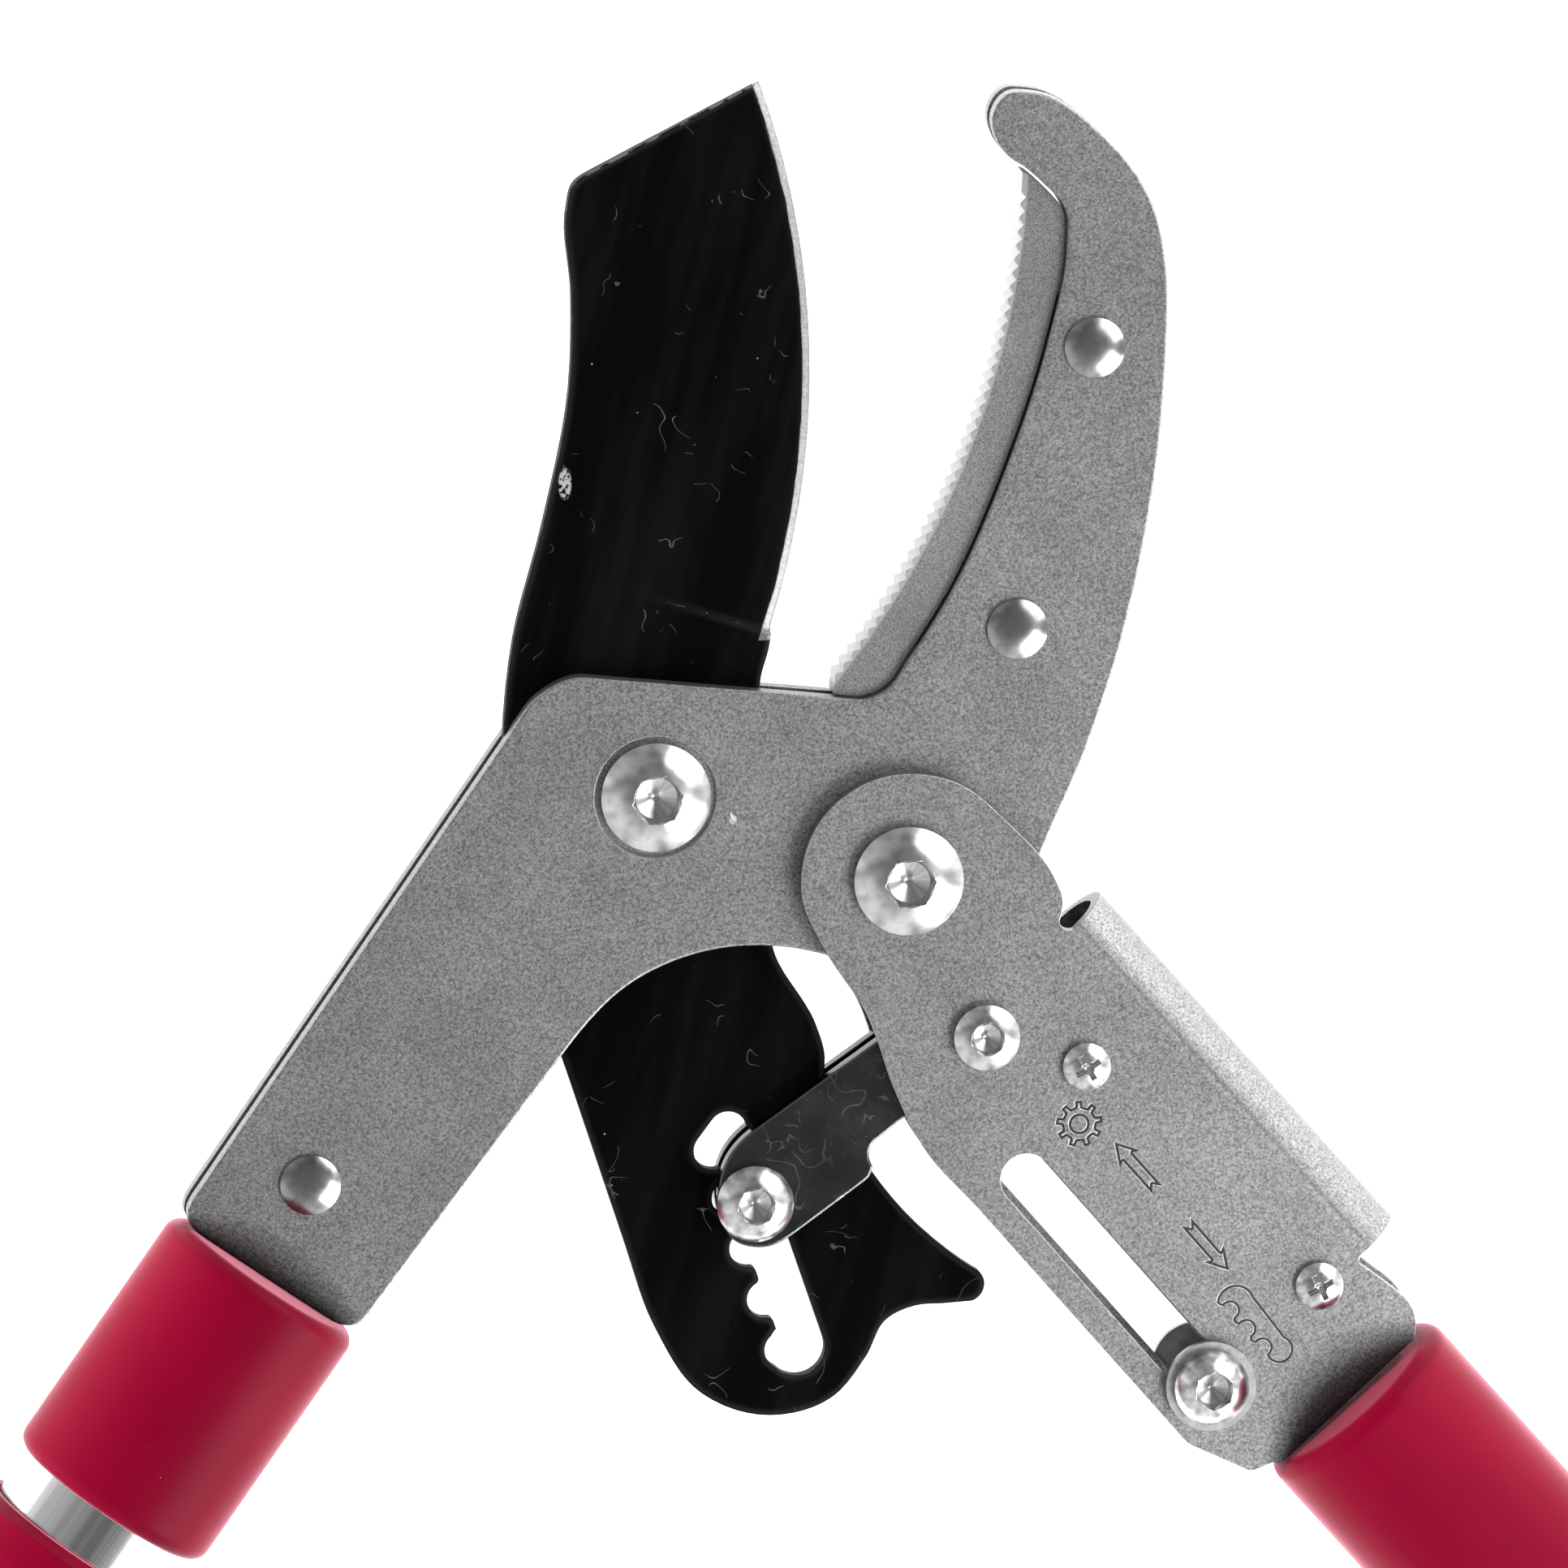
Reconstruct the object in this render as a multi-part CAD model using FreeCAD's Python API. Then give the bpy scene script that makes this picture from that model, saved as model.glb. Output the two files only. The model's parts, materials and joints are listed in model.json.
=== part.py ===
"""Telescopic ratchet anvil lopper, lying on its side with the jaws open.

The layout is drawn in the plane of the blade, about the blade pivot, in millimetres:
+Y runs from the handles to the jaws, +Z is the tool's front face. The blade lies at
Z = 0, and every layer is stacked evenly in front of it and behind it. At the end the
model is moved so that its origin is the centre of its footprint on the ground.
"""
import FreeCAD, Part
import os
from math import cos, pi, radians, sin, sqrt

V = FreeCAD.Vector

# Pivots and fasteners in the plane of the blade
BLADE_PIVOT = (0.0, 0.0)
LEVER_PIVOT = (38.8, -13.4)
LINK_PIVOT = (51.0, -38.3)
RATCHET_PIN = (15.3, -64.1)
SELECTOR = (86.1, -94.2)
SELECTOR_TOP = (57.4, -61.0)
LEVER_SCREWS = [(66.6, -43.3), (103.1, -78.9)]
JAW_RIVETS = [(67.9, 68.7), (56.0, 25.1)]
ARM_RIVET = (-53.6, -59.4)

# Layers, as half distances from the mid plane
BLADE_HALF = 1.25
PLATE_IN, PLATE_OUT = 1.5, 4.5
INSERT_HALF = 3.25
LINK_IN, LINK_OUT = 1.55, 4.15
SHEET_IN, SHEET_OUT = 4.8, 6.8

# Jaw: the anvil's toothed face is an arc, and the closed cutting edge lies along it
ANVIL_CENTRE = (-75.3, 100.9)
ANVIL_R = 132.2
ANVIL_LOW, ANVIL_HIGH = -38.6, -3.4
ANVIL_SEAM = 0.35
TOOTH_COUNT = 38
TOOTH_DEPTH = 0.75
BLADE_SWING = 22.0
EDGE_GAP = 0.2
GRIND_WIDTH = 22.0
BEVEL_WIDTH = 1.1

# Fasteners
PIVOT_SHANK_R = 5.0
PIVOT_HEAD_R, PIVOT_HEAD_H = 8.5, 4.2
BUSH_R = 7.0
LINK_SHANK_R, LINK_BUSH_R = 3.0, 4.5
PIN_R = 2.9
RIVET_SHANK_R, RIVET_HEAD_R, RIVET_HEAD_H = 3.0, 4.7, 1.7
SCREW_SHANK_R, SCREW_HEAD_R = 2.0, 3.75
SELECTOR_SHANK_R = 2.8
LINE_WIDTH = 0.42
RUNNING = 0.06

# Tail slot: a straight passage, round notches along its left side and a slanted lobe on top
SLOT_START = (14.8, -52.3)
SLOT_DIR = (0.321, -0.947)
SLOT_PASSAGE = 6.4
NOTCH_COUNT, NOTCH_PITCH, NOTCH_R = 4, 8.53, 2.95
FIRST_NOTCH = 10.04
TOOTH_ROUND = 0.9
SLOT_TOP, SLOT_END = 1.6, 36.0
LOBE_TOP, LOBE_LOW, LOBE_R = (11.5, -53.2), (9.2, -56.3), 3.0

# Lever: the fold runs along this line, and the slot and sleeve run beside it
FOLD_TOP = (64.5, -21.85)
FOLD_END = (110.2, -73.9)

# Handles: start of each ferrule sleeve, and the direction away from the head
LEFT_MOUTH, LEFT_DIR = (-60.2, -74.3), (-0.573, -0.8195)
RIGHT_MOUTH, RIGHT_DIR = (109.1, -97.5), (0.66, -0.7513)
SLEEVE_R, SLEEVE_LEN = 17.0, 43.0
TUBE_R, TUBE_WALL = 15.0, 1.3
TUBE_START, TUBE_END = 8.0, 400.0
OUTER_R, OUTER_WALL = 16.75, 1.3
COLLAR_START, COLLAR_END = 50.5, 90.0
COLLAR_R = 19.2
OUTER_START, OUTER_END = 60.0, 588.0
GRIP_START = 392.0
GRIP_END = 588.0
CAP_END = 600.0
LUG_END = 626.0
LUG_HALF = 4.0
HANG_HOLE_AT = 614.0
HANG_HOLE_R = 4.0


# ---------- drawing helpers ----------

def at(point, z=0.0):
    return V(point[0], point[1], z)


def nearly_along(line, curve_end):
    """The line's direction if a curve that ends there should run into it, or None."""
    if line is None or line.getAngle(curve_end) > radians(35):
        return None
    return V(line).normalize()


def closed_wire(start, *steps):
    """A closed outline. A step is a point for a straight run, a (through, end) pair for
    an arc, or a list of points for a smooth curve. A curve runs smoothly into the
    straight runs beside it, unless there is a real corner between them."""
    steps = list(steps)
    last = steps[-1]
    last_point = last[-1] if isinstance(last, list) or isinstance(last[0], tuple) else last
    if at(last_point).distanceToPoint(at(start)) > 1e-6:
        steps.append(start)
    ends = [at(start)]
    for step in steps:
        ends.append(at(step[-1]) if isinstance(step, list) or isinstance(step[0], tuple) else at(step))
    runs = []
    for k, step in enumerate(steps):
        straight = not isinstance(step, list) and not isinstance(step[0], tuple)
        runs.append(ends[k + 1] - ends[k] if straight else None)
    edges = []
    for k, step in enumerate(steps):
        here, there = ends[k], ends[k + 1]
        if runs[k] is not None:
            edges.append(Part.LineSegment(here, there).toShape())
        elif isinstance(step, list):
            points = [here] + [at(point) for point in step]
            into = nearly_along(runs[k - 1], points[1] - points[0])
            out = nearly_along(runs[(k + 1) % len(runs)], points[-1] - points[-2])
            edges.extend(smooth_edges(points, into, out))
        else:
            edges.append(Part.Arc(here, at(step[0]), there).toShape())
    return Part.Wire(edges)


def middle_direction(before, here, after):
    """The direction in which a circle through three points passes the middle one."""
    first, second = here - before, after - here
    return (first * (second.Length / first.Length) + second * (first.Length / second.Length)).normalize()


def mirrored(direction, chord):
    """The direction at an arc's other end."""
    along = V(chord).normalize()
    return along * (2 * along.dot(direction)) - direction


def smooth_edges(points, into, out):
    """Curved edges through points, each running smoothly into the next. The directions
    at the two ends are given, or follow from the points beside them."""
    directions = [middle_direction(*points[k - 1:k + 2]) for k in range(1, len(points) - 1)]
    first = into or mirrored(directions[0], points[1] - points[0])
    last = out or mirrored(directions[-1], points[-1] - points[-2])
    directions = [first] + directions + [last]
    edges = []
    for k in range(len(points) - 1):
        here, there = points[k], points[k + 1]
        reach = (there - here).Length / 3
        curve = Part.BezierCurve()
        curve.setPoles([here, here + directions[k] * reach, there - directions[k + 1] * reach, there])
        edges.append(curve.toShape())
    return edges


def slab(wire, low, high):
    """The solid between two heights inside an outline."""
    face = Part.Face(wire)
    face.translate(V(0, 0, low))
    return face.extrude(V(0, 0, high - low))


def rod(point, radius, low, high):
    return Part.makeCylinder(radius, high - low, at(point, low))


def tube(point, outer, inner, low, high):
    return rod(point, outer, low, high).cut(rod(point, inner, low - 1, high + 1))


def rounded_bar(a, b, radius, low, high):
    """A bar with round ends from a to b."""
    run = at(b) - at(a)
    side = V(-run.y, run.x, 0).normalize() * radius
    tip = V(run).normalize() * radius
    p, q = at(a), at(b)
    edges = [
        Part.LineSegment(p + side, q + side).toShape(),
        Part.Arc(q + side, q + tip, q - side).toShape(),
        Part.LineSegment(q - side, p - side).toShape(),
        Part.Arc(p - side, p - tip, p + side).toShape(),
    ]
    return slab(Part.Wire(edges), low, high)


def behind(shape):
    """The same piece on the rear side of the mid plane."""
    return shape.mirror(V(0, 0, 0), V(0, 0, 1))


def soften(shape, radius, low, high):
    """Rounds the edges that lie flat at a height between low and high."""
    flat = []
    for edge in shape.Edges:
        box = edge.BoundBox
        if box.ZLength < 1e-6 and low <= box.ZMin <= high:
            flat.append(edge)
    return shape.makeFillet(radius, flat)


def turned(point, profile):
    """A solid of revolution about Z at a point, from a profile of (radius, height)."""
    corners = [V(r, 0, z) for r, z in profile]
    face = Part.Face(Part.makePolygon(corners + corners[:1]))
    solid = face.revolve(V(0, 0, 0), V(0, 0, 1), 360)
    solid.translate(at(point))
    return solid


def hexagon(point, across_flats, low, high, turn=0.0):
    corner_r = across_flats / sqrt(3)
    corners = []
    for k in range(6):
        angle = radians(60 * k + turn)
        corners.append(V(point[0] + corner_r * cos(angle), point[1] + corner_r * sin(angle), 0))
    return slab(Part.makePolygon(corners + corners[:1]), low, high)


def dome(point, radius, height, seat, rim):
    """A button head: a short straight rim below a spherical crown."""
    rise = height - rim
    ball_r = (radius * radius + rise * rise) / (2 * rise)
    ball = Part.makeSphere(ball_r, at(point, seat + height - ball_r))
    return rod(point, radius, seat, seat + height).common(ball)


def button_bolt(point, seat, head_r, head_h, socket_af, shank_r, shank_end, turn=0.0):
    head = dome(point, head_r, head_h, seat, 1.0)
    crown = head_h * 0.93
    flat_top = rod(point, head_r, seat - 1, seat + crown)
    head = head.common(flat_top)
    socket = hexagon(point, socket_af, seat + crown - head_h * 0.6, seat + head_h + 1, turn)
    lead_in = turned(point, [(0, seat + crown - 0.5), (socket_af * 0.5, seat + crown - 0.5),
                             (socket_af * 0.5 + 0.9, seat + crown + 0.4), (0, seat + crown + 0.4)])
    floor = seat + crown - head_h * 0.6
    drilled = turned(point, [(0, floor - socket_af * 0.22), (socket_af * 0.47, floor), (0, floor)])
    shank = rod(point, shank_r, shank_end, seat + 0.5)
    return head.fuse(shank).cut(socket).cut(lead_in).cut(drilled).removeSplitter()


def hex_nut(point, across_flats, high, low, bore_r, turn=0.0):
    """A nut from high down to low, with its outer corners turned off."""
    nut = hexagon(point, across_flats, low, high, turn)
    corner_r = across_flats / sqrt(3)
    flat_r = across_flats / 2
    cone = turned(point, [(0, low), (flat_r, low), (corner_r + 0.2, low + 1.1),
                          (corner_r + 0.2, high), (0, high)])
    return nut.common(cone).cut(rod(point, bore_r, low - 1, high + 1))


def cap_nut(point, radius, high, low, bore_r):
    """A round capped nut with a domed closed end."""
    body = behind(dome(point, radius, high - low, -high, (high - low) * 0.45))
    return body.cut(rod(point, bore_r, low + 1.6, high + 1))


# ---------- jaws ----------

THROAT = (31.0, 14.6)
HOOK_INNER = [(35.6, 16.0), (39.3, 20.9), (45.1, 29.9), (54.6, 51.0), (60.9, 70.5), (63.6, 84.5),
              (63.3, 90.2), (60.4, 93.7), (56.5, 97.1)]


def jaw_outline():
    """One outline for both jaw plates: handle arm, throat and hook."""
    return closed_wire(
        (24.7, 15.3),
        THROAT,
        HOOK_INNER,
        [(52.6, 101.1), (52.0, 104.9), (54.2, 108.1), (58.3, 108.3), (69.6, 101.0), (76.7, 91.0),
         (79.0, 80.5), (79.0, 68.0), (77.2, 47.5), (71.6, 20.6), (66.4, 5.0), (59.6, -10.7),
         (55.4, -22.0), (48.5, -27.8), (38.8, -30.5), (28.6, -26.0), (19.0, -23.8), (10.0, -23.9),
         (-3.2, -28.6), (-14.6, -40.1)],
        (-43.9, -79.0),
        [(-46.6, -81.6), (-50.4, -80.9)],
        (-70.3, -67.1),
        [(-72.6, -63.9), (-71.5, -60.8)],
        (-22.9, 9.8),
        [(-18.0, 16.3), (-11.0, 19.0)],
        (24.7, 15.3),
    )


def jaw_plate():
    plate = slab(jaw_outline(), PLATE_IN, PLATE_OUT)
    plate = soften(plate, 0.35, PLATE_OUT - 0.01, PLATE_OUT + 0.01)
    plate = plate.cut(rod(BLADE_PIVOT, PIVOT_SHANK_R, 0, 9))
    plate = plate.cut(rod(LEVER_PIVOT, PIVOT_SHANK_R, 0, 9))
    for point in JAW_RIVETS + [ARM_RIVET]:
        plate = plate.cut(rod(point, RIVET_SHANK_R, 0, 9))
    return plate


def jaw_plate_front():
    """The front plate has a shallow round seat for the blade bolt's head."""
    return jaw_plate().cut(rod(BLADE_PIVOT, PIVOT_HEAD_R + 1.05, PLATE_OUT - 0.6, 9))


def anvil_point(radius, degrees):
    angle = radians(degrees)
    return (ANVIL_CENTRE[0] + radius * cos(angle), ANVIL_CENTRE[1] + radius * sin(angle))


def beside(points, distance):
    """The points of a path, moved to its left."""
    moved = []
    for k, point in enumerate(points):
        before, after = points[max(k - 1, 0)], points[min(k + 1, len(points) - 1)]
        along = (at(after) - at(before)).normalize()
        moved.append((point[0] - along.y * distance, point[1] + along.x * distance))
    return moved


def anvil_face_outline(seam):
    """The anvil's outline, with its back a narrow seam away from the plates' edges."""
    back = beside([(27.7, 14.95), THROAT] + HOOK_INNER[:-1] + [(57.6, 96.1)], seam)
    return closed_wire(back[0], back[1], back[2:], anvil_point(ANVIL_R, -2.2),
                       (anvil_point(ANVIL_R, -20), anvil_point(ANVIL_R, ANVIL_LOW)))


def anvil_insert():
    """The hardened anvil: a toothed face that stands clear of the plates' edges by a
    narrow seam, and a thinner tongue that the rivets hold between the plates."""
    block = slab(anvil_face_outline(ANVIL_SEAM), -INSERT_HALF, INSERT_HALF)
    pitch = (ANVIL_HIGH - ANVIL_LOW) / TOOTH_COUNT
    for k in range(TOOTH_COUNT):
        middle = ANVIL_LOW + (k + 0.5) * pitch
        groove = closed_wire(anvil_point(ANVIL_R - 0.5, middle - 0.45 * pitch),
                             anvil_point(ANVIL_R, middle - 0.42 * pitch),
                             anvil_point(ANVIL_R + TOOTH_DEPTH, middle),
                             anvil_point(ANVIL_R, middle + 0.42 * pitch),
                             anvil_point(ANVIL_R - 0.5, middle + 0.45 * pitch))
        block = block.cut(slab(groove, -INSERT_HALF - 1, INSERT_HALF + 1))
    inner_r, outer_r = ANVIL_R + 4, ANVIL_R + 23.5
    low, middle, high = -34.0, -23.0, -10.0
    tongue = closed_wire(anvil_point(inner_r, low), anvil_point(outer_r, low),
                         (anvil_point(outer_r, middle), anvil_point(outer_r - 4, high)),
                         anvil_point(inner_r, high))
    within = slab(jaw_outline(), -PLATE_IN, PLATE_IN).fuse(slab(anvil_face_outline(0.0), -PLATE_IN, PLATE_IN))
    insert = block.fuse(slab(tongue, -PLATE_IN, PLATE_IN).common(within))
    for point in JAW_RIVETS:
        insert = insert.cut(rod(point, RIVET_SHANK_R, -9, 9))
    return insert.removeSplitter()


def rivet(point):
    """A domed rivet through both plates, set flush into a wide low head at each side."""
    head = dome(point, RIVET_HEAD_R, RIVET_HEAD_H, PLATE_OUT, 0.35)
    shank = rod(point, RIVET_SHANK_R, -PLATE_OUT - 0.2, PLATE_OUT + 0.2)
    return head.fuse(shank).fuse(behind(head)).removeSplitter()


# ---------- blade ----------

def swung(point, degrees):
    angle = radians(degrees)
    return (point[0] * cos(angle) - point[1] * sin(angle),
            point[0] * sin(angle) + point[1] * cos(angle))


EDGE_CENTRE = swung(ANVIL_CENTRE, BLADE_SWING)
EDGE_R = ANVIL_R - EDGE_GAP


def edge_point(degrees):
    angle = radians(degrees)
    return (EDGE_CENTRE[0] + EDGE_R * cos(angle), EDGE_CENTRE[1] + EDGE_R * sin(angle))


def blade_outline():
    """Blade, hub and notched tail in one piece."""
    return closed_wire(
        edge_point(19.9),
        (edge_point(1.0), edge_point(-17.4)),
        [(17.9, 22.3), (16.7, 18.0), (17.6, 4.0), (18.0, -14.0), (18.5, -24.5), (25.2, -36.8),
         (26.5, -41.0), (26.6, -46.5), (31.6, -56.6), (41.4, -69.2), (50.0, -76.1)],
        [(51.3, -77.3), (51.5, -78.8)],
        [(50.9, -80.2), (49.6, -81.1)],
        [(45.0, -81.4), (40.9, -81.6), (36.2, -83.7), (33.1, -89.4), (27.6, -95.9),
         (17.8, -98.4), (7.2, -94.5), (0.2, -84.2), (-4.2, -71.6)],
        (-12.9, -45.0),
        [(-20.0, -22.0), (-23.3, 4.0), (-21.6, 24.3), (-17.0, 42.2), (-12.9, 63.2), (-12.5, 78.0),
         (-13.2, 91.2), (-12.2, 94.9), (-9.4, 96.9)],
    )


def slot_point(along, across):
    """A point of the tail slot: along the passage, and across it towards the notches."""
    x = SLOT_START[0] + along * SLOT_DIR[0] + across * SLOT_DIR[1]
    y = SLOT_START[1] + along * SLOT_DIR[1] - across * SLOT_DIR[0]
    return (x, y)


def tail_slot():
    """The notched window in the tail: the ratchet pin steps from notch to notch."""
    low, high = -BLADE_HALF - 1, BLADE_HALF + 1
    middle, end_r = SLOT_PASSAGE / 2, 4.4
    slot = rounded_bar(slot_point(SLOT_TOP, middle), slot_point(SLOT_END, middle), middle, low, high)
    slot = slot.fuse(rod(slot_point(SLOT_END, end_r), end_r, low, high))
    for k in range(NOTCH_COUNT):
        centre = slot_point(FIRST_NOTCH + NOTCH_PITCH * k, SLOT_PASSAGE)
        slot = slot.fuse(rod(centre, NOTCH_R, low, high))
    slot = slot.removeSplitter()
    corners = []
    for k in range(NOTCH_COUNT):
        for end in (-NOTCH_R, NOTCH_R):
            corner = at(slot_point(FIRST_NOTCH + NOTCH_PITCH * k + end, SLOT_PASSAGE))
            for edge in slot.Edges:
                foot = V(edge.CenterOfMass.x, edge.CenterOfMass.y, 0)
                upright = edge.BoundBox.ZLength > high - low - 0.01
                if upright and foot.distanceToPoint(corner) < 0.3:
                    corners.append(edge)
    slot = slot.makeFillet(TOOTH_ROUND, corners)
    return slot.fuse(rounded_bar(LOBE_TOP, LOBE_LOW, LOBE_R, low, high))


def grind_relief():
    """What the hollow grind and the final bevel take off the blade's front side."""
    start = EDGE_R - GRIND_WIDTH
    bevel = EDGE_R - BEVEL_WIDTH
    profile = [(start, BLADE_HALF), (bevel, 0.8), (EDGE_R + 0.1, 0.08),
               (EDGE_R + 3, 0.08), (EDGE_R + 3, BLADE_HALF + 1), (start, BLADE_HALF + 1)]
    face = Part.Face(Part.makePolygon([V(r, 0, z) for r, z in profile + profile[:1]]))
    relief = face.revolve(V(0, 0, 0), V(0, 0, 1), 44)
    relief.rotate(V(0, 0, 0), V(0, 0, 1), -17.9)
    relief.translate(at(EDGE_CENTRE))
    return relief


def blade():
    solid = slab(blade_outline(), -BLADE_HALF, BLADE_HALF)
    solid = solid.cut(tail_slot())
    solid = solid.cut(rod(BLADE_PIVOT, BUSH_R + RUNNING, -9, 9))
    relief = grind_relief()
    return solid.cut(relief).cut(behind(relief))


# ---------- lever ----------

def lever_outline():
    return closed_wire(
        FOLD_TOP,
        FOLD_END,
        [(109.4, -75.2), (110.9, -76.6)],
        (115.4, -80.1),
        [(118.0, -83.4), (118.0, -87.9)],
        (98.3, -106.2),
        [(97.1, -107.0), (95.8, -106.9)],
        (93.4, -107.9),
        [(92.4, -108.0), (91.5, -107.6)],
        (83.6, -103.9),
        [(82.4, -103.1), (81.5, -102.1)],
        (50.0, -65.6),
        [(41.4, -55.8), (36.6, -46.0), (32.6, -34.6), (26.4, -24.9), (22.3, -15.0), (25.4, -3.6),
         (34.4, 2.6), (46.1, 1.7), (54.6, -5.1), (61.6, -13.6), (62.9, -17.2), (62.3, -20.4)],
        [(62.9, -21.5), FOLD_TOP],
    )


def lever_slot(radius, low, high):
    return rounded_bar(SELECTOR_TOP, SELECTOR, radius, low, high)


def fold():
    """The rounded back of the folded sheet, a half tube between its two notches."""
    run = at(FOLD_END) - at(FOLD_TOP)
    outer = Part.makeCylinder(SHEET_OUT, run.Length, at(FOLD_TOP), run)
    inner = Part.makeCylinder(SHEET_IN, run.Length, at(FOLD_TOP), run)
    out = V(-run.y, run.x, 0).normalize()
    keep = Part.makeBox(run.Length, 20, 40, V(0, 0, -20))
    keep = placed(keep, FOLD_TOP, V(run).normalize(), out)
    return outer.cut(inner).common(keep)


def placed(shape, point, x_dir, y_dir):
    """Moves a shape drawn at the origin to a point, with its X and Y along two directions."""
    turn = FreeCAD.Rotation(x_dir, y_dir, x_dir.cross(y_dir), "XYZ")
    return shape.transformed(FreeCAD.Placement(at(point), turn).toMatrix())


def groove(wire, width):
    """A shallow engraved line just inside an outline on the lever's front sheet."""
    face = Part.Face(wire)
    line = face.cut(face.makeOffset2D(-width))
    line.translate(V(0, 0, SHEET_OUT - 0.12))
    return line.extrude(V(0, 0, 1))


def gear_icon():
    """A plain gear outline, the mark for the stepped gear."""
    centre = (65.5, -52.4)
    teeth = 9
    corners = []
    for k in range(teeth):
        for offset, radius in ((-0.31, 2.75), (-0.22, 3.7), (0.22, 3.7), (0.31, 2.75)):
            angle = 2 * pi * (k + offset) / teeth + 0.2
            corners.append(V(centre[0] + radius * cos(angle), centre[1] + radius * sin(angle), 0))
    outline = Part.makePolygon(corners + corners[:1])
    hole = Part.Wire(Part.makeCircle(1.65, at(centre)))
    return [groove(outline, LINE_WIDTH), groove(hole, LINE_WIDTH)]


def arrow(tip, tail):
    """A plain arrow outline from tail to tip, with a notched tail."""
    run = at(tip) - at(tail)
    length = run.Length
    forward = V(run).normalize()
    side = V(-forward.y, forward.x, 0)
    half, barb, head = 1.0, 2.1, 3.2
    shape = [(0, -half), (length - head, -half), (length - head - 0.5, -barb), (length, 0),
             (length - head - 0.5, barb), (length - head, half), (0, half), (1.3, 0)]
    corners = [at(tail) + forward * a + side * b for a, b in shape]
    return groove(Part.makePolygon(corners + corners[:1]), LINE_WIDTH)


def rack_icon():
    """A plain bar outline with a scalloped side, the mark for the ratchet."""
    low, high = at((94.9, -89.6)), at((87.2, -80.6))
    pitch = (high - low) / 3
    inward = V(pitch.y, -pitch.x, 0).normalize()
    scallops = []
    for k in range(3):
        foot = low + pitch * k
        recess = (foot + pitch * 0.31 + inward * 1.5, foot + pitch * 0.62)
        tooth = (foot + pitch * 0.81 - inward * 0.45, foot + pitch)
        for through, end in (recess, tooth):
            scallops.append(((through.x, through.y), (end.x, end.y)))
    outline = closed_wire((high.x, high.y), ((89.6, -78.5), (92.9, -80.4)), (97.8, -86.9),
                          ((98.3, -90.6), (low.x, low.y)), *scallops)
    return groove(outline, 0.35)


def lever_housing():
    sheet = slab(lever_outline(), SHEET_IN, SHEET_OUT)
    front = sheet.cut(lever_slot(4.1, 0, 9))
    rear = behind(sheet).cut(lever_slot(3.5, -9, 0))
    housing = front.fuse(rear).fuse(fold())
    housing = housing.cut(rod(LEVER_PIVOT, PIVOT_SHANK_R + RUNNING, -9, 9))
    housing = housing.cut(rod(LINK_PIVOT, LINK_SHANK_R, -9, 9))
    for point in LEVER_SCREWS:
        housing = housing.cut(rod(point, SCREW_SHANK_R, -9, 9))
    marks = gear_icon() + [arrow((71.0, -55.4), (77.8, -63.2)),
                           arrow((89.0, -76.2), (82.2, -68.3)), rack_icon()]
    for mark in marks:
        housing = housing.cut(mark)
    return housing.removeSplitter()


def cross_screw(point, turn):
    """A pan head machine screw with a cross recess, through both sheets."""
    head = dome(point, SCREW_HEAD_R, 2.3, SHEET_OUT, 0.7)
    top = SHEET_OUT + 2.3
    for angle in (turn, turn + 90):
        wing = Part.makeBox(4.2, 0.9, 3.0, V(-2.1, -0.45, -1.6))
        wing.rotate(V(0, 0, 0), V(0, 0, 1), angle)
        wing.translate(at(point, top))
        head = head.cut(wing)
    pit = turned(point, [(0, top - 1.9), (0.5, top - 1.6), (1.2, top + 0.5), (0, top + 0.5)])
    shank = rod(point, SCREW_SHANK_R, -SHEET_OUT - 3.2, SHEET_OUT + 0.2)
    return head.cut(pit).fuse(shank).removeSplitter()


# ---------- link and selector ----------

def link_plate():
    """One of the two link plates that join the lever to the pin in the tail slot."""
    outline = closed_wire(
        (38.0, -36.5),
        (15.3, -52.6),
        [(10.9, -57.5), (9.8, -64.5), (12.0, -69.9), (17.0, -71.2), (22.0, -68.8)],
        (31.6, -61.8),
        [(33.2, -60.4), (33.7, -58.8)],
        [(33.2, -57.2), (33.4, -55.8), (34.4, -54.6)],
        (38.5, -51.4),
        [(47.0, -46.6), (54.4, -45.5), (58.8, -40.6),
         (57.9, -34.0), (52.0, -30.6), (44.8, -32.2), (38.0, -36.5)],
    )
    plate = soften(slab(outline, LINK_IN, LINK_OUT), 0.35, LINK_OUT - 0.01, LINK_OUT + 0.01)
    return plate.cut(rod(LINK_PIVOT, LINK_BUSH_R + RUNNING, 0, 9)).cut(rod(RATCHET_PIN, PIN_R, 0, 9))


def ratchet_pin():
    """A shoulder bolt: its plain shank is the pin that rides in the tail slot."""
    return button_bolt(RATCHET_PIN, LINK_OUT, 6.0, 3.9, 5.2, PIN_R, -LINK_OUT - 3.6, 12)


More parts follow.
